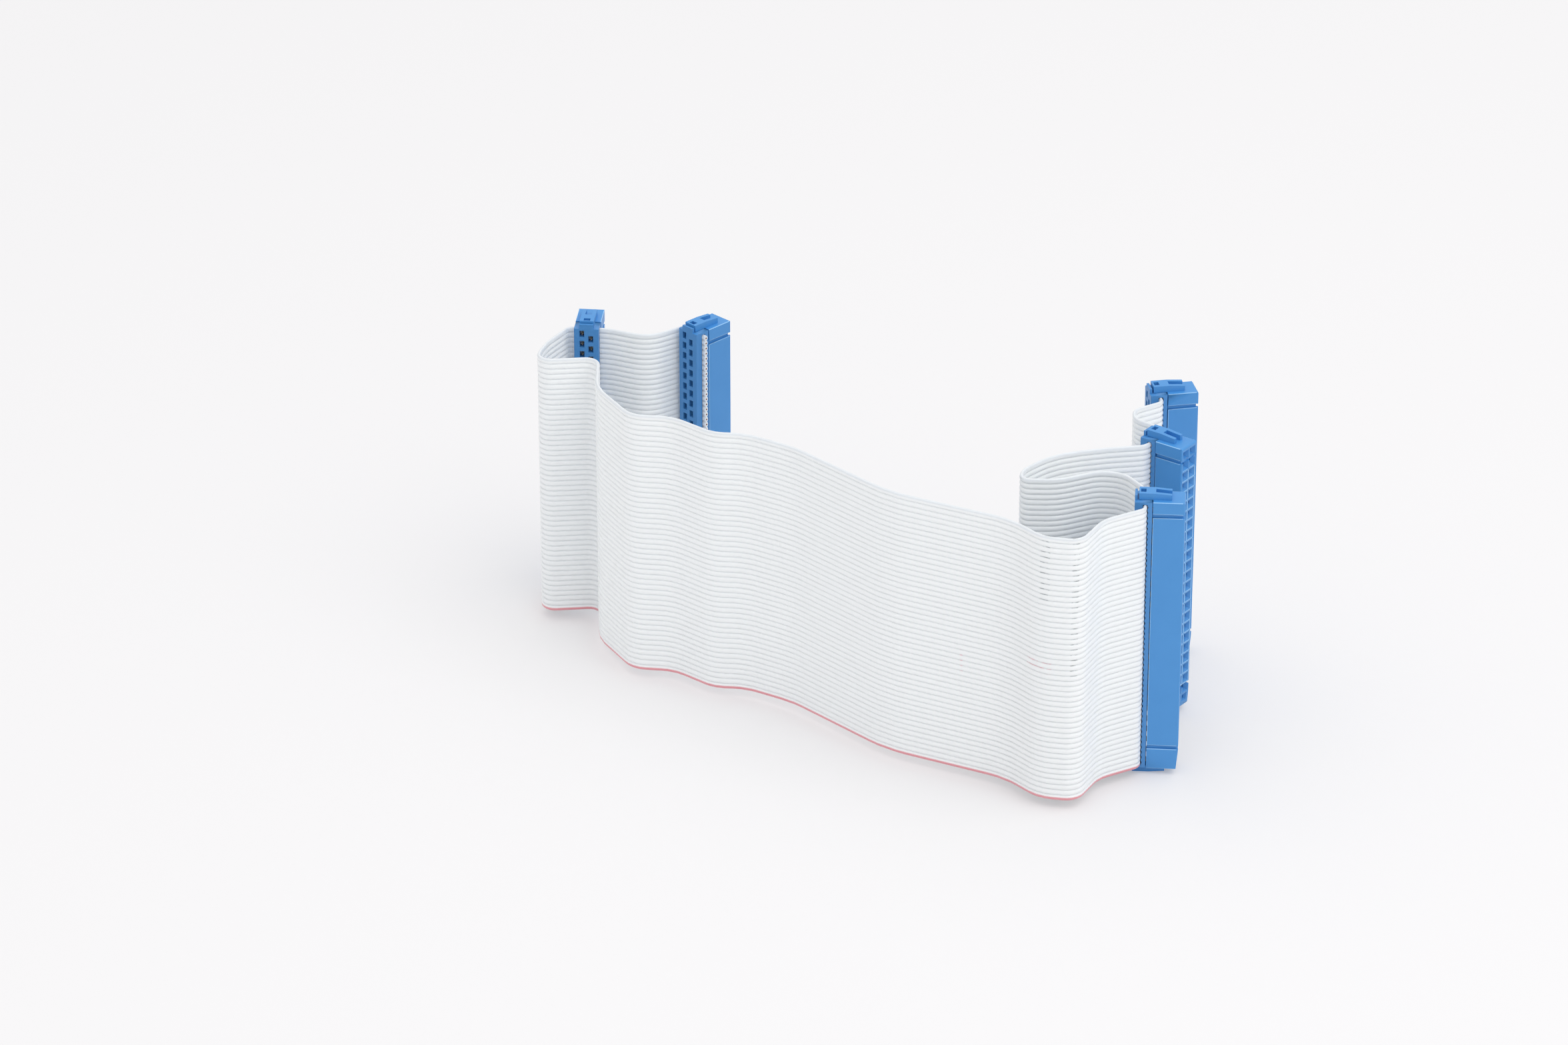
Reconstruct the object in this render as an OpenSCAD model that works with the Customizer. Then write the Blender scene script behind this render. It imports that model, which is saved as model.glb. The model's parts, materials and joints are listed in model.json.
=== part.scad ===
// Flat ribbon cable that stands on edge, with five two-row sockets pressed onto it.
// Lengths are in millimetres. The surface it stands on is z = 0 and the origin is the middle of its plan.

/* [Ribbon] */
// Conductors side by side in the ribbon
conductors = 50; // [20:2:60]
// Distance between neighbouring conductors
conductor_pitch = 1.27; // [1.24:0.01:1.32]
// Thickness of the ribbon over a conductor
ribbon_t = 0.9; // [0.8:0.05:0.95]
// Thickness of the web between two conductors
web_t = 0.35; // [0.25:0.05:0.5]
// Diameter of one bare conductor
wire_d = 0.38; // [0.3:0.02:0.46]
// How far a bare conductor shows in from a cut end
wire_l = 0.7; // [0.4:0.1:1]
// Ribbon left past the socket at a cut end
tail = 0.8; // [0.5:0.1:0.9]

/* [Socket cover] */
// Width of a cover along the ribbon
cover_w = 5.6; // [5.2:0.1:5.8]
// Thickness of the cover outside the ribbon
back_t = 1.75; // [1.6:0.05:2.2]
// Thickness of the comb between the ribbon and the body
comb_t = 1.05; // [0.8:0.05:1.4]
// How far a cover's end stays below the body's end
cover_set = 0.1; // [0.05:0.05:0.3]
// Radius of the comb's scallops, one for each conductor
scallop_r = 0.6; // [0.5:0.02:0.62]
// Depth of the scallops
scallop = 0.2; // [0.1:0.05:0.3]
// Width of an inspection window along the ribbon
window_w = 1.1; // [0.9:0.05:1.2]
// Height of an inspection window
window_h = 1.6; // [1.3:0.05:1.7]
// Width of the tab at a cover's end
tab_w = 3.2; // [2.6:0.1:3.6]
// Thickness of the tab
tab_t = 0.55; // [0.45:0.05:0.65]
// How far the tab stands above the cover's end
tab_rise = 1.1; // [0.8:0.1:1.4]
// Height of the catch beside the tab
catch_h = 0.9; // [0.6:0.1:1.1]
// Height of the catch at the low end of its slope
catch_low = 0.3; // [0.1:0.1:0.5]
// Clearance of the catch in its pocket
catch_fit = 0.15; // [0.1:0.05:0.25]

/* [Socket body] */
// How far a body stands proud of the cover on each side
body_proud = 0.1; // [0:0.05:0.1]
// Depth of a body from the seam to the mating face
body_depth = 6.9; // [6.4:0.1:8]
// Length of a body past the ribbon's edge
end_margin = 0.7; // [0.5:0.05:1.4]
// Distance between the two rows of pins
row_pitch = 2.54; // [2.5:0.01:2.6]
// Side of a pin opening
pin_hole = 0.95; // [0.85:0.05:1.05]
// Side of the funnel round a pin opening, at the mating face
funnel_w = 2.2; // [1.8:0.05:2.3]
// Depth of the funnel
funnel_depth = 0.9; // [0.6:0.05:1]
// Thickness of the wall with the pin openings
front_wall = 1.2; // [1.1:0.05:1.6]
// Thickness of the wall that holds the contacts
rear_wall = 1.35; // [1.2:0.05:1.6]
// Width of the cavity round a pin
cavity_w = 1.6; // [1.4:0.05:1.7]
// Height of the cavity
cavity_h = 1.9; // [1.8:0.05:2.1]
// How far the cavities stand in from the pins, towards the forks
cavity_shift = 0.12; // [0.05:0.01:0.2]
// Radius of the long edges at the mating face
edge_r = 0.4; // [0.2:0.05:0.5]
// Radius of the upper edge at the mating face
end_r = 0.5; // [0.3:0.05:0.7]
// How far the mating face falls back at the lower end
taper = 0.45; // [0.2:0.05:0.6]
// Height of the grooves round the body
groove_h = 0.85; // [0.7:0.05:1.2]
// Depth of the grooves
groove_depth = 0.5; // [0.3:0.05:0.55]
// Distance from the upper end to the upper groove
groove_top = 2.85; // [2.4:0.05:3.6]
// Distance from the lower end to the lower groove
groove_bottom = 4.9; // [4:0.1:6]

/* [Latch arm] */
// Width of a latch arm
arm_w = 3.2; // [2.8:0.1:3.6]
// How far an arm stands above the body's end
arm_rise = 1.5; // [1.2:0.1:1.8]
// Length of an arm that reaches over the body
arm_root = 4; // [3.6:0.1:4.6]
// Gap between the tab and an arm's tip
tip_gap = 0.35; // [0.2:0.05:0.5]
// How far the rails fall from the bridge to their ends
arm_fall = 0.3; // [0.1:0.05:0.6]
// Thickness of the bar at an arm's tip
tip_t = 0.35; // [0.3:0.05:0.5]
// Width of the slot and the pocket between the rails
rail_gap = 1.5; // [1.2:0.1:1.7]
// Length of the pocket that takes the catch
pocket_l = 1.15; // [1:0.05:1.3]
// Length of the bridge between the pocket and the slot
bridge_l = 2.1; // [1.6:0.1:2.4]

/* [Contacts] */
// Thickness of the contact strip
contact_t = 0.3; // [0.2:0.02:0.34]
// Distance between the two rows of forks
fork_rows = 2; // [1.8:0.05:2.1]
// Width of a fork across its tines
fork_w = 1; // [0.9:0.02:1.04]
// Gap between the tines of a fork
fork_gap = 0.4; // [0.36:0.02:0.46]
// How far the tines' tips stay below the cover's back
tine_in = 0.7; // [0.5:0.1:1]
// Length of a tine's point
point_l = 0.4; // [0.2:0.05:0.6]
// Distance from the ribbon's slot to the root of the tines
tine_root = 0.2; // [0.1:0.05:0.4]
// Length of the jog from a fork's row to a pin's middle
jog_l = 0.5; // [0.4:0.05:0.7]
// Length of the solid base of the spring beams
spring_base = 0.5; // [0.3:0.05:0.8]
// Gap between the beams' ends and the wall in front of them
beam_end_gap = 0.2; // [0.1:0.05:0.4]
// Width of a spring beam
beam_w = 0.26; // [0.2:0.02:0.3]
// Gap between the spring beams
beam_gap = 0.72; // [0.68:0.02:0.8]

/* [Hidden] */
// Clearance round what is held or pressed in
fit = 0.05;
// Gap at the seam between a cover and its body
seam = 0.15;
// Extra on a ridge's circle, which leaves a narrow flat along the ridge
ridge_flat = 0.02;
// How far a cut runs past what it cuts, and how far a joined piece reaches into its neighbour
over = 1;
$fn = 48;

// Corners of the ribbon's route in plan, and how far before and after each the bend reaches
route = [
    [-32.5, 45.5, 0], [-37.9, 50.9, 1], [-45.5, 45.5, 3.5], [-54.5, 49.5, 1.5], [-63.7, 50.4, 1],
    [-68.9, 41.5, 3], [-70.5, 33.2, 3.8], [-56.5, 34.6, 3.2], [-56.5, 19.5, 3.5], [-48.8, 5.4, 3],
    [-39.5, 4.3, 3], [-30.5, -3.5, 2.5], [-23.5, -4, 3], [-13, -10.5, 3], [7.5, -32, 5],
    [33, -45, 4], [40, -53.5, 3], [48, -55, 2.8], [53, -45.5, 2.5], [62.1, -40.2, 1],
    [62.8, -30.7, 2.2], [58.5, -23.3, 2.5], [53, -22.3, 2], [44, -26.4, 2.5], [36, -26, 2.2],
    [36.5, -21.5, 2.2], [43, -14.8, 3.5], [52, -11.6, 4], [63.6, -9.8, 1.3], [69.1, -2.3, 1.8],
    [62, 3.5, 1.8], [62, 8, 1.8], [68.5, 12, 1.3], [67, 20, 0]
];
last = len(route) - 2;
// Straight stretches that carry a socket, in order along the ribbon
socket_stretch = [0, 3, 19, 28, last];

ribbon_w = conductors * conductor_pitch;
body_l = ribbon_w + 2 * end_margin;
body_w = cover_w + 2 * body_proud;
body_z = arm_rise;
ribbon_z = body_z + end_margin;
full_h = body_l + 2 * arm_rise;
middle_z = full_h / 2;
pins_a_row = conductors / 2;

slot_t = ribbon_t + 2 * fit;
slot_l = ribbon_w + 2 * fit;
back_y = -slot_t / 2 - back_t;
comb_y = slot_t / 2 + comb_t;
seam_y = comb_y + seam;
face_y = seam_y + body_depth;
cover_l = body_l - 2 * cover_set;
tip_y = back_y + tab_t + tip_gap;
arm_end = seam_y + arm_root;
bridge_end = tip_y + tip_t + pocket_l + bridge_l;
fork_slot_w = contact_t + 2 * fit;
fork_slot_h = fork_w + 4 * fit;
tine_w = (fork_w - fork_gap) / 2;
springs_w = beam_gap + 2 * beam_w;
fork_y = slot_t / 2 + tine_root;
jog_y = seam_y + rear_wall;
spring_y = jog_y + jog_l;
beams_y = spring_y + spring_base;
// A fork narrows from here on the side away from its pin, so that it clears the cavity's wall
jog_room = cavity_h / 2 - 2 * fit;
shoulder_y = jog_y - jog_l * ((conductor_pitch + fork_w) / 2 - jog_room) / (jog_room - springs_w / 2);

function flat(p) = [p.x, p.y];
function side(i) = flat(route[i + 1]) - flat(route[i]);
function along(i) = side(i) / norm(side(i));
function left_of(v) = [-v.y, v.x];
function heading(i) = atan2(side(i).y, side(i).x);
function wrapped(a) = a > 180 ? a - 360 : a < -180 ? a + 360 : a;
function turn(i) = wrapped(heading(i) - heading(i - 1));
function bend_r(i) = route[i][2] / tan(abs(turn(i)) / 2);
function free_l(i) = norm(side(i)) - route[i][2] - route[i + 1][2];
function free_start(i) = flat(route[i]) + along(i) * route[i][2];
function bend_centre(i) = free_start(i) + sign(turn(i)) * bend_r(i) * left_of(along(i));
// Where a socket sits on its stretch: a tail in from a cut end, otherwise in the middle
function socket_at(i) =
    i == 0 ? tail + body_w / 2
    : i == last ? free_l(i) - tail - body_w / 2
    : free_l(i) / 2;
function socket_spot(i) = free_start(i) + along(i) * socket_at(i);

// Places along the route, each with the direction of travel: the ends, and steps round each bend
bend_step = 15;
function bend_places(i) =
    let (n = ceil(abs(turn(i)) / bend_step), c = bend_centre(i), s = sign(turn(i)))
    [for (j = [0:n]) let (a = heading(i - 1) + turn(i) * j / n)
        [c + s * bend_r(i) * [sin(a), -cos(a)], [cos(a), sin(a)]]];
places = [
    [free_start(0), along(0)],
    for (i = [1:last]) each bend_places(i),
    [flat(route[last + 1]), along(last)]
];
strip_outline = [
    for (p = places) p[0] + ribbon_t / 2 * left_of(p[1]),
    for (j = [len(places) - 1:-1:0]) places[j][0] - ribbon_t / 2 * left_of(places[j][1])
];

// Extent of the plan, from the strip and the corners of the sockets
plan_points = [
    each strip_outline,
    for (i = socket_stretch) for (s = [-1, 1]) for (y = [back_y, face_y])
        socket_spot(i) + s * body_w / 2 * along(i) - y * left_of(along(i))
];
plan_x = [for (p = plan_points) p.x];
plan_y = [for (p = plan_points) p.y];
middle = [(min(plan_x) + max(plan_x)) / 2, (min(plan_y) + max(plan_y)) / 2];

function conductor_z(k) = ribbon_z + (k + 0.5) * conductor_pitch;
function pin_z(j) = ribbon_z + (2 * j + 1) * conductor_pitch;
// The odd row takes the first conductor and every second one after it
function fork_z(row, j) = conductor_z(2 * j + (row > 0 ? 0 : 1));

// A plan drawn in a socket's x and z, pressed out along y from one depth to another
module layer(y0, y1) {
    translate([0, y1, 0]) rotate([90, 0, 0]) linear_extrude(y1 - y0) children();
}

// A profile drawn in a socket's y and z, pressed out along x about a place
module slice(x, thickness) {
    translate([x - thickness / 2, 0, 0]) rotate([90, 0, 90]) linear_extrude(thickness) children();
}

// Both ends of a socket, the lower one mirrored from the upper one
module both_ends() {
    children();
    translate([0, 0, full_h]) mirror([0, 0, 1]) children();
}

module centred(w, h) {
    square([w, h], center = true);
}

// Slits in the ribbon where the tines of both rows of forks go through
module tine_slits() {
    for (row = [-1, 1]) for (j = [0:pins_a_row - 1]) for (s = [-1, 1])
        translate([row * fork_rows / 2, fork_z(row, j) + s * (fork_gap + tine_w) / 2])
            centred(fork_slot_w, tine_w + 2 * fit);
}

// Children stand at the start of a stretch of the route, x along it
module on_stretch(i) {
    p = free_start(i);
    translate([p.x, p.y, 0]) rotate([0, 0, heading(i)]) children();
}

// Slits through the ribbon where a socket on stretch i has its tines
module slits(i) {
    translate([socket_at(i), 0, 0]) rotate([0, 0, 180]) layer(-ribbon_t, ribbon_t) tine_slits();
}

// Valleys between the conductors at a cut end, and bores for the bare conductors
module end_cut(from, to, bore_at) {
    translate([from, 0, 0]) rotate([90, 0, 90]) linear_extrude(to - from) difference() {
        translate([0, middle_z]) centred(2 * ribbon_t, ribbon_w + over);
        for (k = [0:conductors - 1]) translate([0, conductor_z(k)]) circle(d = ribbon_t + ridge_flat);
        translate([-web_t / 2, conductor_z(0)]) square([web_t, ribbon_w - conductor_pitch]);
    }
    bare_wires(bore_at, wire_l + over);
}

// Ribbon as one strip along the route
module ribbon() {
    color("#E1E6E9") translate([-middle.x, -middle.y, 0]) difference() {
        translate([0, 0, ribbon_z]) linear_extrude(ribbon_w) polygon(strip_outline);
        for (i = socket_stretch) on_stretch(i) slits(i);
        on_stretch(0) end_cut(-over, tail - fit, -over);
        on_stretch(last) end_cut(free_l(last) - tail + fit, free_l(last) + over, free_l(last) - wire_l);
    }
}

module bare_wires(start, length) {
    for (k = [0:conductors - 1]) translate([start, 0, conductor_z(k)]) rotate([0, 90, 0])
        cylinder(d = wire_d, h = length);
}

module wires() {
    color("#C27A4A") translate([-middle.x, -middle.y, 0]) {
        on_stretch(0) bare_wires(0, wire_l);
        on_stretch(last) bare_wires(free_l(last) - wire_l, wire_l);
    }
}

// Latch arm in plan: two rails, a bar at the tip, a bridge, and a pocket and a slot between the rails
module arm_plan() {
    difference() {
        translate([-arm_w / 2, tip_y]) square([arm_w, arm_end - tip_y]);
        translate([-rail_gap / 2, tip_y + tip_t]) square([rail_gap, pocket_l]);
        translate([-rail_gap / 2, bridge_end]) square([rail_gap, arm_end]);
    }
}

module latch_arm() {
    difference() {
        translate([0, 0, body_z + body_l]) linear_extrude(arm_rise) arm_plan();
        slice(0, arm_w + over) polygon([
            [bridge_end, full_h + over], [bridge_end, full_h], [arm_end, full_h - arm_fall],
            [arm_end + over, full_h - arm_fall], [arm_end + over, full_h + over]
        ]);
    }
}

// Outline of a body in plan, with its two long edges rounded at the mating face
module body_plan() {
    difference() {
        translate([-body_w / 2, seam_y]) square([body_w, body_depth]);
        for (s = [-1, 1]) translate([s * (body_w / 2 - edge_r), face_y - edge_r]) difference() {
            translate([s * edge_r / 2, edge_r / 2]) centred(edge_r, edge_r);
            circle(r = edge_r);
        }
    }
}

// Groove round both sides and the mating face
module groove(z) {
    translate([0, 0, z]) linear_extrude(groove_h) difference() {
        translate([-body_w / 2 - over, seam_y]) square([body_w + 2 * over, body_depth + over]);
        translate([-body_w / 2 + groove_depth, seam_y - over])
            square([body_w - 2 * groove_depth, body_depth + over - groove_depth]);
    }
}

// Rounded upper edge of the mating face, and its taper at the lower end
module end_forms() {
    top = body_z + body_l;
    slice(0, body_w + over) difference() {
        translate([face_y - end_r, top - end_r]) square(end_r + over);
        translate([face_y - end_r, top - end_r]) circle(r = end_r);
    }
    slice(0, body_w + over) polygon([
        [face_y - taper, body_z - over], [face_y - taper, body_z], [face_y, body_z + groove_bottom],
        [face_y + over, body_z + groove_bottom], [face_y + over, body_z - over]
    ]);
}

// Section of a funnel, across and towards the mating face
module funnel_section() {
    polygon([
        [-funnel_w / 2, face_y + over], [-funnel_w / 2, face_y], [-pin_hole / 2, face_y - funnel_depth],
        [pin_hole / 2, face_y - funnel_depth], [funnel_w / 2, face_y], [funnel_w / 2, face_y + over]
    ]);
}

// Four-sided funnels, where the two rows of the section meet its twenty-five columns
module funnels() {
    intersection() {
        for (row = [-1, 1]) translate([row * row_pitch / 2, 0, body_z])
            linear_extrude(body_l) funnel_section();
        for (j = [0:pins_a_row - 1]) translate([0, 0, pin_z(j)])
            slice(0, body_w) mirror([1, -1]) funnel_section();
    }
}

// A square at each place of the pattern of pins, in a socket's x and z, shifted in towards the forks
module pin_pattern(w, h, shift = 0) {
    for (row = [-1, 1]) for (j = [0:pins_a_row - 1])
        translate([row * (row_pitch / 2 - shift), pin_z(j)]) centred(w, h);
}

module fork_pattern(w, h) {
    for (row = [-1, 1]) for (j = [0:pins_a_row - 1])
        translate([row * fork_rows / 2, fork_z(row, j)]) centred(w, h);
}

module body() {
    color("#4A88C6") difference() {
        union() {
            translate([0, 0, body_z]) linear_extrude(body_l) body_plan();
            both_ends() latch_arm();
        }
        groove(body_z + groove_bottom);
        groove(body_z + body_l - groove_top - groove_h);
        layer(seam_y - over, jog_y) fork_pattern(fork_slot_w, fork_slot_h);
        layer(jog_y, face_y - front_wall) pin_pattern(cavity_w, cavity_h, cavity_shift);
        layer(face_y - front_wall, face_y + over) pin_pattern(pin_hole, pin_hole);
        funnels();
        end_forms();
    }
}

// Scallops in the comb, one beside each conductor
module scallops() {
    slice(0, cover_w + over) difference() {
        for (k = [0:conductors - 1]) translate([slot_t / 2 + scallop - scallop_r, conductor_z(k)])
            circle(r = scallop_r);
        translate([-slot_t, 0]) square([slot_t, full_h]);
    }
}

// Tab behind the arm's tip, and the catch that the arm's pocket takes
module cover_end() {
    top = body_z + body_l - cover_set;
    catch_from = tip_y + tip_t + catch_fit;
    catch_to = tip_y + tip_t + pocket_l - catch_fit;
    translate([-tab_w / 2, back_y, top - over]) cube([tab_w, tab_t, over + tab_rise]);
    slice(0, rail_gap - 2 * catch_fit) polygon([
        [catch_from, top - over], [catch_to, top - over],
        [catch_to, top + catch_low], [catch_from, top + catch_h]
    ]);
}

module cover() {
    cover_z = body_z + cover_set;
    color("#4F90CE") difference() {
        union() {
            translate([-cover_w / 2, back_y, cover_z]) cube([cover_w, comb_y - back_y, cover_l]);
            both_ends() cover_end();
        }
        translate([-cover_w, -slot_t / 2, ribbon_z - fit]) cube([2 * cover_w, slot_t, slot_l]);
        scallops();
        layer(back_y - over, 0) fork_pattern(window_w, window_h);
        layer(0, comb_y + over) fork_pattern(fork_slot_w, fork_slot_h);
    }
}

// One contact in its own plane: tines, fork, jog, and two spring beams round the pin
module contact_profile(fork, pin) {
    tip_at = back_y + tine_in;
    away = sign(fork - pin);
    for (s = [-1, 1]) polygon([
        [tip_at, fork + s * fork_w / 2], [tip_at + point_l, fork + s * fork_gap / 2],
        [fork_y, fork + s * fork_gap / 2], [fork_y, fork + s * fork_w / 2]
    ]);
    translate([fork_y, fork - fork_w / 2]) square([shoulder_y - fork_y, fork_w]);
    polygon([
        [shoulder_y, fork + away * fork_w / 2], [spring_y, pin + away * springs_w / 2],
        [beams_y, pin + away * springs_w / 2], [beams_y, pin - away * springs_w / 2],
        [spring_y, pin - away * springs_w / 2], [jog_y, fork - away * fork_w / 2],
        [shoulder_y, fork - away * fork_w / 2]
    ]);
    for (s = [-1, 1]) translate([beams_y, pin + s * (beam_gap + beam_w) / 2 - beam_w / 2])
        square([face_y - front_wall - beam_end_gap - beams_y, beam_w]);
}

module contact_row(row) {
    color("#D8C48A") for (j = [0:pins_a_row - 1])
        slice(row * fork_rows / 2, contact_t) contact_profile(fork_z(row, j), pin_z(j));
}

// Children stand in a socket's frame: y towards its mating face, x back along the ribbon
module in_socket(k) {
    i = socket_stretch[k - 1];
    p = socket_spot(i) - middle;
    translate([p.x, p.y, 0]) rotate([0, 0, heading(i) - 180]) children();
}

ribbon();
wires();
for (k = [1:len(socket_stretch)]) {
    in_socket(k) body();
    in_socket(k) cover();
    in_socket(k) contact_row(1);
    in_socket(k) contact_row(-1);
}
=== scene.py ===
"""A flat ribbon cable that stands on edge, with five blue sockets pressed onto it.

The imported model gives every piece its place. This script dresses it: the plain strip is replaced by a ribbon
with its fifty ridges, the socket shells get moulded edges, and every piece gets its finish.

Lengths are in metres.
"""

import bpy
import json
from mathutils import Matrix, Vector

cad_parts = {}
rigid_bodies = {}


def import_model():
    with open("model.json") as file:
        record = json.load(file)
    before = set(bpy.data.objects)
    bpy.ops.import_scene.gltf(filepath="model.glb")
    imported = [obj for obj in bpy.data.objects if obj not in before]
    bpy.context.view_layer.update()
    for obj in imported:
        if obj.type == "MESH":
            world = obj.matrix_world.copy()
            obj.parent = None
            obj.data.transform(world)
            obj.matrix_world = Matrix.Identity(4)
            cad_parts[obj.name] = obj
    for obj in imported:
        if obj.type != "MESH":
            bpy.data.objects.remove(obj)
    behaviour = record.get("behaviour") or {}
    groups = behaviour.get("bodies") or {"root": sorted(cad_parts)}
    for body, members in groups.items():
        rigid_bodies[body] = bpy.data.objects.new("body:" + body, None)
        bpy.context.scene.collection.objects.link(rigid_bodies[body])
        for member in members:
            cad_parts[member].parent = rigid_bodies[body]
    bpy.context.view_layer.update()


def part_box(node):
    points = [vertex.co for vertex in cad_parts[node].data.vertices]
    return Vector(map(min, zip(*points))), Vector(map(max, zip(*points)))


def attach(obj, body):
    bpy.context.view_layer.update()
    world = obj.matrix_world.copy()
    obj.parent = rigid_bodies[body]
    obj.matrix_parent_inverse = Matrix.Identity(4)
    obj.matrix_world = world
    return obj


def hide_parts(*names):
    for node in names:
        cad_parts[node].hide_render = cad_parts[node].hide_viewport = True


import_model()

import json
import logging
import math
from dataclasses import dataclass, field
from enum import Enum
from typing import Any

import bmesh
import bpy
import numpy as np
from mathutils import Vector

LOG = logging.getLogger("ribbon_cable")
MM = 0.001
NEARLY_ZERO = 1e-9
SOCKETS = 5


class Part(Enum):
    """The four moulded, stamped or pressed pieces of one socket."""

    BODY = "body"
    COVER = "cover"
    ODD = "odd_contacts"
    EVEN = "even_contacts"


def linear(code: str) -> tuple[float, float, float, float]:
    """Turn an sRGB hex colour into linear light.

    Args:
        code: six hex digits, with or without a leading #.

    Returns:
        Red, green, blue and an alpha of 1.
    """
    parts = [int(code.lstrip("#")[i:i + 2], 16) / 255 for i in (0, 2, 4)]
    r, g, b = [c / 12.92 if c <= 0.04045 else ((c + 0.055) / 1.055) ** 2.4 for c in parts]
    return (r, g, b, 1.0)


def add_node(
        tree: bpy.types.NodeTree, kind: str, sockets: dict[Any, Any] | None = None,
        **settings: Any) -> bpy.types.Node:
    """Add one shader node with its settings, values and links.

    Args:
        tree: the node tree that takes it.
        kind: Blender's name of the node type, without the leading ShaderNode.
        sockets: input name or index to a value, or to an output socket that is linked to it.
        settings: properties of the node itself.

    Returns:
        The new node.
    """
    node = tree.nodes.new("ShaderNode" + kind)
    for name, value in settings.items():
        setattr(node, name, value)
    for key, value in (sockets or {}).items():
        if isinstance(value, bpy.types.NodeSocket):
            tree.links.new(value, node.inputs[key])
        else:
            node.inputs[key].default_value = value
    return node


def new_material(name: str) -> tuple[bpy.types.Material, bpy.types.NodeTree]:
    """Start an empty node material that ends in an output node.

    Args:
        name: the material's name.

    Returns:
        The material and its node tree.
    """
    material = bpy.data.materials.new(name)
    material.use_nodes = True
    material.node_tree.nodes.clear()
    return material, material.node_tree


def close_tree(tree: bpy.types.NodeTree, shader: bpy.types.Node) -> None:
    """Link a shader to a new output node.

    Args:
        tree: the material's node tree.
        shader: the node whose first output is the surface.
    """
    add_node(tree, "OutputMaterial", {"Surface": shader.outputs[0]})


@dataclass(frozen=True)
class MouldedPolyester:
    """Glass-filled polyester, injection moulded: an even blue with faint flow clouds and a fine satin skin.

    The glass fibres lie near the skin, so highlights are broad and slightly mottled. The grain of the mould
    is finer than 0.12 mm, and is drawn as coarse as that so that it shows.
    """

    name: str
    colour: str = "4793D6"
    cloud: str = "428DD0"
    cloud_size: float = 6 * MM
    cloud_detail: float = 3.0
    grain_size: float = 0.12 * MM
    grain_detail: float = 2.0
    grain_depth: float = 0.01 * MM
    grain_strength: float = 0.25
    roughness: float = 0.42
    smoother: float = 0.05
    rougher: float = 0.06
    ior: float = 1.55

    def build(self) -> bpy.types.Material:
        """Make the material.

        Returns:
            A material on Object coordinates.
        """
        material, tree = new_material(self.name)
        place = add_node(tree, "TexCoord").outputs["Object"]
        cloud = add_node(tree, "TexNoise", {
            "Vector": place, "Scale": 1 / self.cloud_size, "Detail": self.cloud_detail}).outputs["Fac"]
        grain = add_node(tree, "TexNoise", {
            "Vector": place, "Scale": 1 / self.grain_size, "Detail": self.grain_detail}).outputs["Fac"]
        colour = add_node(tree, "MixRGB", {0: cloud, 1: linear(self.colour), 2: linear(self.cloud)})
        rough = add_node(tree, "MapRange", {
            "Value": cloud, "To Min": self.roughness - self.smoother,
            "To Max": self.roughness + self.rougher})
        bump = add_node(tree, "Bump", {
            "Height": grain, "Strength": self.grain_strength, "Distance": self.grain_depth})
        shader = add_node(tree, "BsdfPrincipled", {
            "Base Color": colour.outputs[0], "Roughness": rough.outputs[0], "Normal": bump.outputs[0],
            "IOR": self.ior})
        close_tree(tree, shader)
        return material


@dataclass(frozen=True)
class Strokes:
    """A patch of short strokes in the valleys: dark ones are painted shade where the ribbon bends hard, pink
    ones are stains.

    Lengths along the ribbon are in metres from its first end. Lanes count the conductors from the pink one.
    """

    start: float
    end: float
    lowest: float
    highest: float
    strength: float


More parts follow.
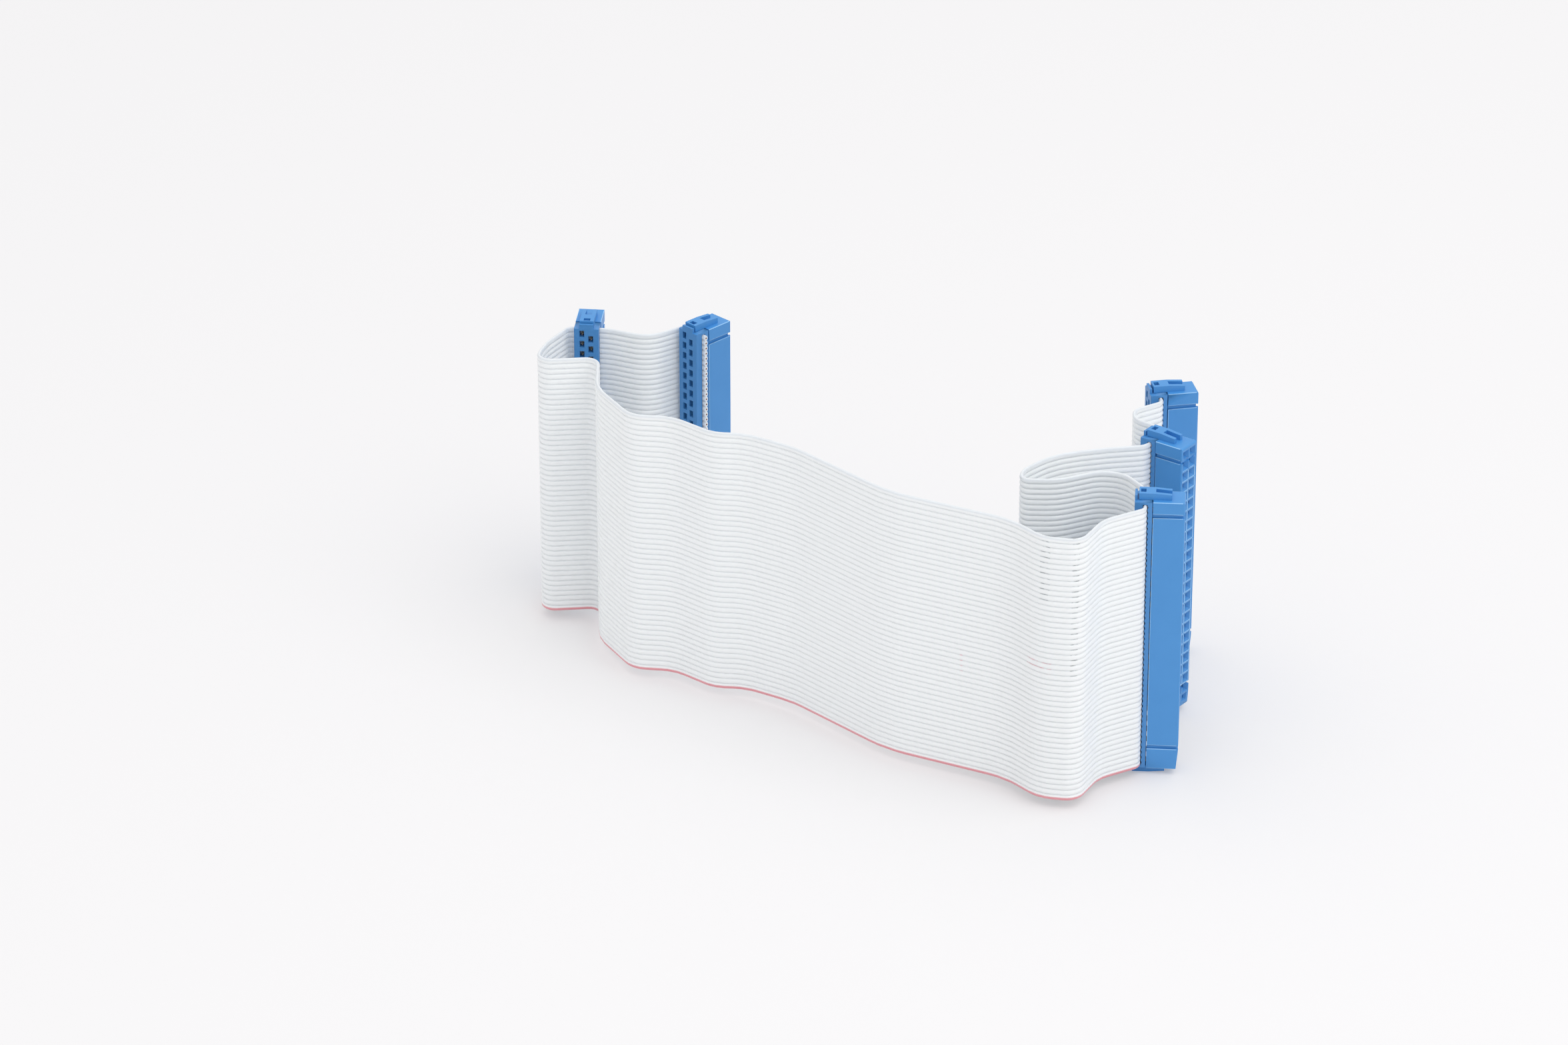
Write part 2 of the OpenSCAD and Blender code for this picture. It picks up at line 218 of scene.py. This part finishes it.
@dataclass(frozen=True)
class SoftVinyl:
    """Extruded soft vinyl: a pale grey, slightly see-through skin with a dull gloss; its valleys get painted
    shade.

    The colour follows the ribbon's own map, whose U runs along the ribbon and V across the conductors. The
    lower half of the first conductor is pink, and the trimmed upper edge is duller. Valleys are counted in
    pitches from the middle of a conductor, and the other limits in conductors from an edge. The grain of the
    die is drawn at 0.25 mm, coarser than it is, so that it shows.
    """

    name: str
    conductors: int
    length: float
    grey: str = "F2F5F7"
    # Painted shade: the valleys between the ridges are coloured a little darker than the grey.
    painted_valley_shade: str = "F0F3F6"
    valley_from: float = 0.38
    valley_full: float = 0.47
    pink: str = "E39CA4"
    pink_until: float = 0.5
    pink_gone: float = 0.72
    trimmed: str = "DCE0E4"
    trimmed_from: float = 0.5
    trimmed_full: float = 0.25
    cloud_size: float = 9 * MM
    cloud_detail: float = 3.0
    grain_size: float = 0.25 * MM
    grain_detail: float = 2.0
    grain_depth: float = 0.01 * MM
    grain_strength: float = 0.06
    roughness: float = 0.3
    smoother: float = 0.06
    rougher: float = 0.08
    ior: float = 1.53
    see_through: float = 0.65
    see_through_depth: float = 0.9 * MM
    speck_size: float = 1.1 * MM
    speck_detail: float = 1.0
    speck_none: float = 0.35
    speck_full: float = 0.65
    fade_along: float = 0.3 * MM
    fade_across: float = 0.5
    # Painted shade: short dark strokes in the valleys where the ribbon bends hardest.
    painted_crease_shade: str = "8E9296"
    painted_crease_shades: tuple[Strokes, ...] = (
        Strokes(202.6 * MM, 204.6 * MM, 37.5, 49.8, 0.7), Strokes(209.7 * MM, 210.9 * MM, 23.5, 49.8, 0.8))
    blush: str = "F0BEC6"
    blushes: tuple[Strokes, ...] = (
        Strokes(181.6 * MM, 182.0 * MM, 18.8, 22.6, 0.7), Strokes(199.4 * MM, 205.3 * MM, 24.4, 26.2, 0.9))

    def window(
            self, tree: bpy.types.NodeTree, value: bpy.types.NodeSocket,
            low: float, high: float, soft: float) -> bpy.types.Node:
        """Fade a value in between two limits.

        Args:
            tree: the node tree.
            value: the output socket.
            low: where it is fully in on the low side.
            high: where it starts to fade on the high side.
            soft: length of each fade, outside the limits.

        Returns:
            A node whose output is 1 between the limits and 0 beyond the fades.
        """
        rise = add_node(tree, "MapRange", {"Value": value, "From Min": low - soft, "From Max": low})
        fall = add_node(tree, "MapRange", {
            "Value": value, "From Min": high, "From Max": high + soft, "To Min": 1.0, "To Max": 0.0})
        return add_node(tree, "Math", {0: rise.outputs[0], 1: fall.outputs[0]}, operation="MULTIPLY")

    def build(self) -> bpy.types.Material:
        """Make the material.

        Returns:
            A material on the ribbon's own UV map.
        """
        material, tree = new_material(self.name)
        uv = add_node(tree, "UVMap", uv_map="across").outputs[0]
        axes = add_node(tree, "SeparateXYZ", {0: uv}).outputs
        along = add_node(tree, "Math", {0: axes["X"], 1: self.length}, operation="MULTIPLY").outputs[0]
        lane = add_node(tree, "Math", {
            0: axes["Y"], 1: float(self.conductors)}, operation="MULTIPLY").outputs[0]
        part = add_node(tree, "Math", {0: lane}, operation="FRACT")
        middle = add_node(tree, "Math", {0: part.outputs[0], 1: 0.5}, operation="SUBTRACT")
        away = add_node(tree, "Math", {0: middle.outputs[0]}, operation="ABSOLUTE").outputs[0]
        painted_valley_shade = add_node(tree, "MapRange", {
            "Value": away, "From Min": self.valley_from, "From Max": self.valley_full}).outputs[0]
        first = add_node(tree, "MapRange", {
            "Value": lane, "From Min": self.pink_until, "From Max": self.pink_gone,
            "To Min": 1.0, "To Max": 0.0})
        last = add_node(tree, "MapRange", {
            "Value": lane, "From Min": self.conductors - self.trimmed_from,
            "From Max": self.conductors - self.trimmed_full})
        place = add_node(tree, "TexCoord").outputs["Object"]
        cloud = add_node(tree, "TexNoise", {
            "Vector": place, "Scale": 1 / self.cloud_size, "Detail": self.cloud_detail})
        grain = add_node(tree, "TexNoise", {
            "Vector": place, "Scale": 1 / self.grain_size, "Detail": self.grain_detail})
        specks = add_node(tree, "TexNoise", {
            "Vector": place, "Scale": 1 / self.speck_size, "Detail": self.speck_detail})
        # Mix in the painted shade of the valleys, then the top edge and the pink stripe.
        colour = add_node(tree, "MixRGB", {0: painted_valley_shade, 1: linear(self.grey), 2: linear(self.painted_valley_shade)})
        colour = add_node(tree, "MixRGB", {0: last.outputs[0], 1: colour.outputs[0], 2: linear(self.trimmed)})
        colour = add_node(tree, "MixRGB", {0: first.outputs[0], 1: colour.outputs[0], 2: linear(self.pink)})
        # The dark strokes are painted shade in the hard bends; the pink ones are stains.
        for tint, patches in ((self.painted_crease_shade, self.painted_crease_shades), (self.blush, self.blushes)):
            for patch in patches:
                run = self.window(tree, along, patch.start, patch.end, self.fade_along)
                height = self.window(tree, lane, patch.lowest, patch.highest, self.fade_across)
                area = add_node(tree, "Math", {0: run.outputs[0], 1: height.outputs[0]}, operation="MULTIPLY")
                kept = add_node(tree, "Math", {0: area.outputs[0], 1: painted_valley_shade}, operation="MULTIPLY")
                uneven = add_node(tree, "MapRange", {
                    "Value": specks.outputs["Fac"], "From Min": self.speck_none, "From Max": self.speck_full,
                    "To Max": patch.strength})
                fac = add_node(tree, "Math", {0: kept.outputs[0], 1: uneven.outputs[0]}, operation="MULTIPLY")
                colour = add_node(tree, "MixRGB", {0: fac.outputs[0], 1: colour.outputs[0], 2: linear(tint)})
        rough = add_node(tree, "MapRange", {
            "Value": cloud.outputs["Fac"], "To Min": self.roughness - self.smoother,
            "To Max": self.roughness + self.rougher})
        bump = add_node(tree, "Bump", {
            "Height": grain.outputs["Fac"], "Strength": self.grain_strength, "Distance": self.grain_depth})
        shader = add_node(tree, "BsdfPrincipled", {
            "Base Color": colour.outputs[0], "Roughness": rough.outputs[0], "Normal": bump.outputs[0],
            "IOR": self.ior, "Subsurface Weight": self.see_through, "Subsurface Radius": (1.0, 1.0, 1.0),
            "Subsurface Scale": self.see_through_depth})
        close_tree(tree, shader)
        return material


@dataclass(frozen=True)
class StampedMetal:
    """Rolled and stamped strip or drawn wire: bright metal, dulled by fine upright streaks from the tool.

    The streaks are drawn 0.3 mm wide, coarser than they are, so that they show.
    """

    name: str
    colour: str
    roughness: float
    smoother: float = 0.08
    rougher: float = 0.1
    streak: float = 0.3 * MM
    streak_squeeze: float = 6.0

    def build(self) -> bpy.types.Material:
        """Make the material.

        Returns:
            A material on Object coordinates.
        """
        material, tree = new_material(self.name)
        place = add_node(tree, "TexCoord").outputs["Object"]
        squeezed = add_node(tree, "Mapping", {"Vector": place, "Scale": (1.0, 1.0, self.streak_squeeze)})
        streaks = add_node(tree, "TexNoise", {"Vector": squeezed.outputs[0], "Scale": 1 / self.streak})
        rough = add_node(tree, "MapRange", {
            "Value": streaks.outputs["Fac"], "To Min": self.roughness - self.smoother,
            "To Max": self.roughness + self.rougher})
        shader = add_node(tree, "BsdfPrincipled", {
            "Base Color": linear(self.colour), "Metallic": 1.0, "Roughness": rough.outputs[0]})
        close_tree(tree, shader)
        return material


def dress(piece: bpy.types.Object, material: bpy.types.Material) -> None:
    """Give a piece one material.

    Args:
        piece: the object.
        material: the finish.
    """
    piece.data.materials.clear()
    piece.data.materials.append(material)


@dataclass
class Route:
    """The ribbon's way in plan: straight runs joined by arcs that touch them, as in the part's source.

    Each row of corners is x, y and how far before and after the corner the bend reaches, in millimetres.
    """

    corners: tuple[tuple[float, float, float], ...] = (
        (-32.5, 45.5, 0), (-37.9, 50.9, 1), (-45.5, 45.5, 3.5), (-54.5, 49.5, 1.5), (-63.7, 50.4, 1),
        (-68.9, 41.5, 3), (-70.5, 33.2, 3.8), (-56.5, 34.6, 3.2), (-56.5, 19.5, 3.5), (-48.8, 5.4, 3),
        (-39.5, 4.3, 3), (-30.5, -3.5, 2.5), (-23.5, -4, 3), (-13, -10.5, 3), (7.5, -32, 5),
        (33, -45, 4), (40, -53.5, 3), (48, -55, 2.8), (53, -45.5, 2.5), (62.1, -40.2, 1),
        (62.8, -30.7, 2.2), (58.5, -23.3, 2.5), (53, -22.3, 2), (44, -26.4, 2.5), (36, -26, 2.2),
        (36.5, -21.5, 2.2), (43, -14.8, 3.5), (52, -11.6, 4), (63.6, -9.8, 1.3), (69.1, -2.3, 1.8),
        (62, 3.5, 1.8), (62, 8, 1.8), (68.5, 12, 1.3), (67, 20, 0))
    starts: np.ndarray = field(init=False)
    headings: np.ndarray = field(init=False)
    curvatures: np.ndarray = field(init=False)
    breaks: np.ndarray = field(init=False)

    def __post_init__(self) -> None:
        """Work out the pieces of the way.

        A bend that turns by an angle and reaches d each side of its corner has the radius
        d / tan(half the angle). Straight runs and arcs alternate, and breaks holds the distance along the way
        at which each starts, and at last the whole length.
        """
        rows = np.array(self.corners) * MM
        points, reach = rows[:, :2], rows[:, 2]
        sides = np.diff(points, axis=0)
        lengths = np.linalg.norm(sides, axis=1)
        along = sides / lengths[:, None]
        angle = np.unwrap(np.arctan2(along[:, 1], along[:, 0]))
        turn = np.diff(angle)
        radius = reach[1:-1] / np.tan(np.abs(turn) / 2)
        free = lengths - reach[:-1] - reach[1:]
        free_start = points[:-1] + along * reach[:-1, None]
        free_end = points[1:] - along * reach[1:, None]
        count = 2 * len(free) - 1
        self.starts = np.empty((count, 2))
        self.starts[0::2], self.starts[1::2] = free_start, free_end[:-1]
        self.headings = np.repeat(angle, 2)[:count]
        self.curvatures = np.zeros(count)
        self.curvatures[1::2] = np.sign(turn) / radius
        run = np.empty(count)
        run[0::2], run[1::2] = free, radius * np.abs(turn)
        self.breaks = np.concatenate([[0.0], np.cumsum(run)])

    @property
    def length(self) -> float:
        """The ribbon's whole length."""
        return float(self.breaks[-1])

    def at(self, s: np.ndarray) -> tuple[np.ndarray, np.ndarray]:
        """Find places on the way.

        On a straight run the place is start + t (cos h, sin h). On an arc of curvature k it is
        start + (sin(h + k t) - sin h, cos h - cos(h + k t)) / k.

        Args:
            s: distances along the way.

        Returns:
            The places, one row each, and the headings there.
        """
        i = np.clip(np.searchsorted(self.breaks, s, side="right") - 1, 0, len(self.headings) - 1)
        t, h, k = s - self.breaks[i], self.headings[i], self.curvatures[i]
        bent = np.abs(k) > NEARLY_ZERO
        safe = np.where(bent, k, 1.0)
        end = h + k * t
        x = np.where(bent, (np.sin(end) - np.sin(h)) / safe, t * np.cos(h))
        y = np.where(bent, (np.cos(h) - np.cos(end)) / safe, t * np.sin(h))
        return self.starts[i] + np.stack([x, y], axis=1), end

    def stations(
            self, count: int, straight_step: float = 6 * MM, bend_step: float = math.radians(9),
            closest: float = 0.1 * MM) -> np.ndarray:
        """Choose where the rings stand: close together in bends and wide apart on straight runs.

        Args:
            count: about how many rings.
            straight_step: what a ring on a straight run is worth in length.
            bend_step: what a ring in a bend is worth in angle.
            closest: how near to the end of a bend another ring may stand.

        Returns:
            Distances along the way, rising, with the ends of every bend among them.
        """
        run = np.diff(self.breaks)
        cost = run / straight_step + run * np.abs(self.curvatures) / bend_step
        total = np.concatenate([[0.0], np.cumsum(cost)])
        even = np.interp(np.linspace(0, total[-1], count - len(self.breaks)), total, self.breaks)
        both = np.unique(np.concatenate([even, self.breaks]))
        near_break = np.min(np.abs(both[:, None] - self.breaks[None, :]), axis=1)
        keep = (near_break < NEARLY_ZERO) | (near_break > closest)
        return both[keep]


@dataclass
class Ribbon:
    """The flat cable: fifty rounded ridges side by side with narrow valleys between, bent along the route.

    web is its thickness in a valley, and set_back is how far the cut conductors stand out of the jacket.
    """

    conductors: int = 50
    pitch: float = 1.27 * MM
    thickness: float = 0.9 * MM
    web: float = 0.36 * MM
    set_back: float = 0.04 * MM
    rings: int = 190
    ridge_points: int = 5
    end_points: int = 3
    route: Route = field(default_factory=Route)

    def profile(self) -> tuple[np.ndarray, np.ndarray]:
        """Draw one closed section, across the conductors and through the ribbon.

        A ridge is part of an ellipse as wide as the pitch: it stands r cos(a) above the middle plane at the
        distance q sin(a) from its own middle, with r half the thickness, q half the pitch, and a from -w to
        w, where w is the angle at which it meets the web. The two outer ridges go on round to the other face.
        The direction that faces out there is (sin(a) / q, cos(a) / r), made one long.

        Returns:
            Rows of (across, through), as many on one face as on the other, and the directions that face out
            at them. One face comes first, then the top edge, the other face and the low edge.
        """
        r, q = self.thickness / 2, self.pitch / 2
        meet = math.acos(self.web / self.thickness)
        face = np.tile(np.linspace(-meet, meet, self.ridge_points), self.conductors)
        edge = np.linspace(meet, math.pi - meet, self.end_points + 2)[1:-1]
        turned = np.concatenate([face, edge, math.pi - face[::-1], math.pi + edge])
        middles = (np.arange(self.conductors) + 0.5) * self.pitch
        rising = np.repeat(middles, self.ridge_points)
        top, low = np.full(self.end_points, middles[-1]), np.full(self.end_points, middles[0])
        centre = np.concatenate([rising, top, rising[::-1], low])
        section = np.stack([centre + q * np.sin(turned), r * np.cos(turned)], axis=1)
        facing = np.stack([np.sin(turned) / q, np.cos(turned) / r], axis=1)
        return section, facing / np.linalg.norm(facing, axis=1)[:, None]

    def mesh(self) -> bpy.types.Mesh:
        """Carry the section along the route.

        The place of a section point is route(s) + through x (left of the heading), at the height base +
        across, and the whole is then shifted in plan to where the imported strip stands. Both ends stop a
        little short, so that the cut conductors show. Sides shade along the true ellipses, and the cut ends
        are flat.

        Returns:
            A closed mesh, whose map runs from 0 to 1 both ways: U along the ribbon and V across it.
        """
        lowest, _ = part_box("ribbon")
        s = self.route.stations(self.rings)
        s[0], s[-1] = self.set_back, self.route.length - self.set_back
        place, heading = self.route.at(s)
        left = np.stack([-np.sin(heading), np.cos(heading)], axis=1)
        section, facing = self.profile()
        plan = place[:, None, :] + section[None, :, 1, None] * left[:, None, :]
        height = np.broadcast_to(lowest[2] + section[None, :, 0], plan.shape[:2])
        points = np.concatenate([plan, height[:, :, None]], axis=2)
        rail = np.concatenate([place + left * self.thickness / 2, place - left * self.thickness / 2])
        points[:, :, :2] += np.array(lowest[:2]) - rail.min(axis=0)
        rings, width = points.shape[:2]
        i, j = np.meshgrid(np.arange(rings - 1), np.arange(width), indexing="ij")
        k = (j + 1) % width
        sides = np.stack([i * width + j, (i + 1) * width + j, (i + 1) * width + k, i * width + k], axis=-1)
        sides = sides.reshape(-1, 4)[:, ::-1]
        mesh = bpy.data.meshes.new("ribbon_jacket")
        caps = self.caps(rings, width)
        mesh.from_pydata(points.reshape(-1, 3), [], [*sides.tolist(), *caps])
        along = np.repeat(s / self.route.length, width)
        over = np.tile(section[:, 0] / (self.conductors * self.pitch), rings)
        corner = np.empty(len(mesh.loops), dtype=np.int32)
        mesh.loops.foreach_get("vertex_index", corner)
        first_cap = sides.size
        uv = mesh.uv_layers.new(name="across")
        uv.data.foreach_set("uv", np.stack([along[corner], over[corner]], axis=1).ravel())
        out = np.concatenate([
            facing[None, :, 1, None] * left[:, None, :],
            np.broadcast_to(facing[None, :, 0, None], (rings, width, 1))], axis=2).reshape(-1, 3)[corner]
        flat = np.empty(3 * len(mesh.polygons))
        mesh.polygons.foreach_get("normal", flat)
        corners = np.empty(len(mesh.polygons), dtype=np.int32)
        mesh.polygons.foreach_get("loop_total", corners)
        out[first_cap:] = np.repeat(flat.reshape(-1, 3), corners, axis=0)[first_cap:]
        mesh.polygons.foreach_set("use_smooth", np.ones(len(mesh.polygons), dtype=bool))
        mesh.normals_split_custom_set(out)
        return mesh

    def caps(self, rings: int, width: int) -> list[list[int]]:
        """Close the two cut ends with strips between the faces, so that each follows the ridges.

        Point a of one face stands opposite point b of the other, and the round edges are one face each.

        Args:
            rings: how many rings the mesh has.
            width: how many points a ring has.

        Returns:
            Faces as lists of point numbers.
        """
        face = self.conductors * self.ridge_points
        other = face + self.end_points
        low_edge = other + face
        a = np.arange(face - 1)
        b = other + (face - 1 - a)
        strip = np.stack([a, a + 1, b - 1, b], axis=1)
        top = [*range(face - 1, other + 1)]
        low = [*range(low_edge - 1, low_edge + self.end_points), 0]
        last = (rings - 1) * width
        return [
            *strip[:, ::-1].tolist(), *(strip + last).tolist(),
            top[::-1], low[::-1], [p + last for p in top], [p + last for p in low]]

    def build(self) -> bpy.types.Object:
        """Make the ribbon and let it stand for the plain strip.

        Returns:
            The new piece.
        """
        piece = bpy.data.objects.new("ribbon_jacket", self.mesh())
        bpy.context.scene.collection.objects.link(piece)
        dress(piece, SoftVinyl("grey_soft_vinyl", self.conductors, self.route.length).build())
        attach(piece, "root")
        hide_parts("ribbon")
        LOG.info("ribbon: %d faces, %.1f mm long", len(piece.data.polygons), self.route.length / MM)
        return piece


@dataclass
class Socket:
    """One socket: a body and a cover, moulded, and two rows of stamped contacts between them.

    Long outer edges are rounded by the width edge, and the rims of the pin funnels, which are known by their
    length, by a share of it. Every other edge stays sharp.
    """

    number: int
    edge: float = 0.13 * MM
    edge_steps: int = 3
    sharp_from: float = math.radians(30)
    flat_below: float = math.radians(1)
    merge_below: float = 1e-6
    shortest: float = 5 * MM
    rim: float = 2.2 * MM
    rim_near: float = 0.03 * MM
    rim_share: float = 0.6

    def node(self, part: Part) -> str:
        """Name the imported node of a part.

        Args:
            part: which of the four pieces.

        Returns:
            The node's name.
        """
        return f"socket_{self.number}_{part.value}"

    def shell(
            self, part: Part, material: bpy.types.Material,
            painted_edge_highlight: bpy.types.Material | None = None) -> bpy.types.Object:
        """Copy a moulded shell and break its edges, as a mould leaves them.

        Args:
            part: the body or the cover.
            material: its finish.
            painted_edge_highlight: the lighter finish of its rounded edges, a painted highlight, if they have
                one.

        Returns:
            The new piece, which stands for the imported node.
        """
        name = self.node(part)
        mesh = bpy.data.objects[name].data.copy()
        mesh.name = name + "_moulded"
        work = bmesh.new()
        work.from_mesh(mesh)
        bmesh.ops.remove_doubles(work, verts=work.verts, dist=self.merge_below)
        bmesh.ops.dissolve_limit(work, angle_limit=self.flat_below, verts=work.verts, edges=work.edges)
        weight = work.edges.layers.float.new("bevel_weight_edge")
        for edge in work.edges:
            sharp = edge.is_manifold and edge.calc_face_angle() > self.sharp_from
            if sharp and edge.is_convex:
                length = edge.calc_length()
                rim = abs(length - self.rim) < self.rim_near
                edge[weight] = 1.0 if length > self.shortest else self.rim_share if rim else 0.0
            edge.smooth = not sharp or edge[weight] > 0
        work.to_mesh(mesh)
        work.free()
        piece = bpy.data.objects.new(name + "_moulded", mesh)
        bpy.context.scene.collection.objects.link(piece)
        bevel = piece.modifiers.new("broken_edges", "BEVEL")
        bevel.width, bevel.segments, bevel.limit_method = self.edge, self.edge_steps, "WEIGHT"
        bevel.use_clamp_overlap = False
        # The rounded edges take a lighter blue: a painted highlight along the edges.
        if painted_edge_highlight:
            bevel.material = 1
        mesh.polygons.foreach_set("use_smooth", np.ones(len(mesh.polygons), dtype=bool))
        normals = piece.modifiers.new("flat_faces", "WEIGHTED_NORMAL")
        normals.keep_sharp = True
        dress(piece, material)
        if painted_edge_highlight:
            piece.data.materials.append(painted_edge_highlight)
        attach(piece, "root")
        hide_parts(name)
        return piece

    def build(
            self, body: bpy.types.Material, painted_edge_highlight: bpy.types.Material,
            cover: bpy.types.Material, metal: bpy.types.Material) -> None:
        """Make the shells and finish the contacts.

        Args:
            body: the body's finish.
            painted_edge_highlight: the lighter finish of the body's rounded edges, a painted highlight.
            cover: the cover's finish.
            metal: the contacts' finish.
        """
        self.shell(Part.BODY, body, painted_edge_highlight)
        self.shell(Part.COVER, cover)
        for part in (Part.ODD, Part.EVEN):
            dress(bpy.data.objects[self.node(part)], metal)
        LOG.info("socket %d: two shells and two rows of contacts", self.number)


@dataclass
class Studio:
    """A pale table, a soft sky that is brightest overhead, one broad lamp, and the camera of the photograph.

    The camera, and what mirrors the table, sees its own shading mixed with a share (lift) of even paper
    white, as the photograph's exposure pales the shadows. No diffuse ray sees that share, so it doesn't light
    the object. The camera's focal length is in pixels of the photograph, which is image_width of them wide.
    """

    floor_half: float = 4.0
    floor_colour: str = "EBEAEB"
    floor_roughness: float = 0.9
    floor_specular: float = 0.1
    paper: str = "F7F6F7"
    lift: float = 0.3
    horizon: float = 0.67
    zenith: float = 1.26
    lamp_watts: float = 4.8
    lamp_size: float = 1.2
    lamp_at: tuple[float, float, float] = (0.5, -0.45, 1.1)
    tilt: float = math.radians(27)
    focal: float = 10000.0
    image_width: float = 2352.0
    sensor_width: float = 36.0
    farthest: float = 20.0
    camera_at: tuple[float, float, float] = (-0.0181950, -1.3119135, 0.70923)

    def floor(self) -> None:
        """Lay the table top."""
        mesh, far = bpy.data.meshes.new("table_top"), self.floor_half
        mesh.from_pydata([(-far, -far, 0), (far, -far, 0), (far, far, 0), (-far, far, 0)], [], [(0, 1, 2, 3)])
        table = bpy.data.objects.new("table_top", mesh)
        bpy.context.scene.collection.objects.link(table)
        material, tree = new_material("matt_table")
        matt = add_node(tree, "BsdfPrincipled", {
            "Base Color": linear(self.floor_colour), "Roughness": self.floor_roughness,
            "Specular IOR Level": self.floor_specular})
        glow = add_node(tree, "Emission", {"Color": linear(self.paper), "Strength": 1.0})
        ray = add_node(tree, "LightPath").outputs
        mirrored = add_node(tree, "Math", {
            0: ray["Is Glossy Ray"], 1: ray["Is Transmission Ray"]}, operation="ADD")
        seen = add_node(tree, "Math", {
            0: ray["Is Camera Ray"], 1: mirrored.outputs[0]}, operation="ADD", use_clamp=True)
        share = add_node(tree, "Math", {0: seen.outputs[0], 1: self.lift}, operation="MULTIPLY")
        close_tree(tree, add_node(tree, "MixShader", {
            0: share.outputs[0], 1: matt.outputs[0], 2: glow.outputs[0]}))
        dress(table, material)

    def lights(self) -> None:
        """Set a sky that grows brighter overhead and one broad lamp above, in front and to the right.

        The sky's strength goes from horizon to zenith with the square of the height that a ray points to.
        """
        world = bpy.data.worlds.new("soft_daylight")
        world.use_nodes = True
        tree = world.node_tree
        tree.nodes.clear()
        way = add_node(tree, "SeparateXYZ", {0: add_node(tree, "TexCoord").outputs["Generated"]})
        height = add_node(tree, "Math", {0: way.outputs["Z"], 1: way.outputs["Z"]}, operation="MULTIPLY")
        level = add_node(tree, "MapRange", {
            "Value": height.outputs[0], "To Min": self.horizon, "To Max": self.zenith})
        sky = add_node(tree, "Background", {"Color": (1.0, 1.0, 1.0, 1.0), "Strength": level.outputs[0]})
        add_node(tree, "OutputWorld", {"Surface": sky.outputs[0]})
        bpy.context.scene.world = world
        lamp = bpy.data.lights.new("broad_lamp", "AREA")
        lamp.energy, lamp.size = self.lamp_watts, self.lamp_size
        holder = bpy.data.objects.new("broad_lamp", lamp)
        holder.location = self.lamp_at
        holder.rotation_euler = (-Vector(holder.location)).to_track_quat("-Z", "Y").to_euler()
        bpy.context.scene.collection.objects.link(holder)

    def camera(self) -> None:
        """Place the camera where the photograph was taken from."""
        data = bpy.data.cameras.new("camera")
        data.sensor_width = self.sensor_width
        data.lens = self.sensor_width * self.focal / self.image_width
        data.clip_end = self.farthest
        holder = bpy.data.objects.new("camera", data)
        holder.location = self.camera_at
        holder.rotation_euler = (math.pi / 2 - self.tilt, 0.0, 0.0)
        bpy.context.scene.collection.objects.link(holder)
        bpy.context.scene.camera = holder

    def build(self) -> None:
        """Set the whole stage."""
        self.floor()
        self.lights()
        self.camera()
        bpy.context.scene.view_settings.view_transform = "Standard"


def main() -> None:
    """Build every piece in order."""
    logging.basicConfig(level=logging.INFO, format="%(message)s")
    Studio().build()
    Ribbon().build()
    dress(bpy.data.objects["wires"], StampedMetal("drawn_copper", colour="8A6150", roughness=0.4).build())
    LOG.info("wires: bare ends of the conductors")
    body = MouldedPolyester("blue_polyester_body").build()
    # A lighter blue for the bodies' rounded edges: a painted highlight.
    painted_edge_highlight = MouldedPolyester("blue_polyester_painted_edge_highlight", colour="98CBF5", cloud="8CC0EE", roughness=0.3).build()
    cover = MouldedPolyester("blue_polyester_cover", colour="468BCB", cloud="4186C6").build()
    metal = StampedMetal("spring_bronze", colour="C4BBA6", roughness=0.4).build()
    for number in range(1, SOCKETS + 1):
        Socket(number).build(body, painted_edge_highlight, cover, metal)


if __name__ == "__main__":
    main()
